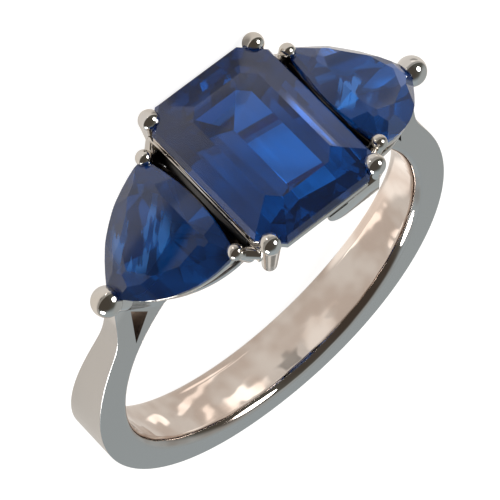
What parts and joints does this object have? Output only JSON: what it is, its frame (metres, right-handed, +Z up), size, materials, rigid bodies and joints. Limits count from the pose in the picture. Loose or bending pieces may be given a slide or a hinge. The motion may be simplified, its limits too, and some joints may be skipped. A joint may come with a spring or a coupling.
{
  "type": "sapphire ring with side stones",
  "caption": "White gold finger ring with a step cut blue sapphire between smaller trillion cut sapphires, held by rounded claws on a tapered band with split shoulders.",
  "frame": {"origin": "on the table, below the middle of the box around the ring as it lies on its side", "axes": "+Z up from the table, +X across the finger hole towards the right side stone, -Y from the finger hole towards the centre stone"},
  "size_m": [0.0204, 0.0238, 0.0087],
  "materials": {
    "white_gold": "polished, rhodium plated",
    "sapphire": "polished facets"
  },
  "bodies": {
    "root": {"ring_mount": "white_gold", "centre_stone": "sapphire", "left_side_stone": "sapphire", "right_side_stone": "sapphire"}
  },
  "joints": []
}
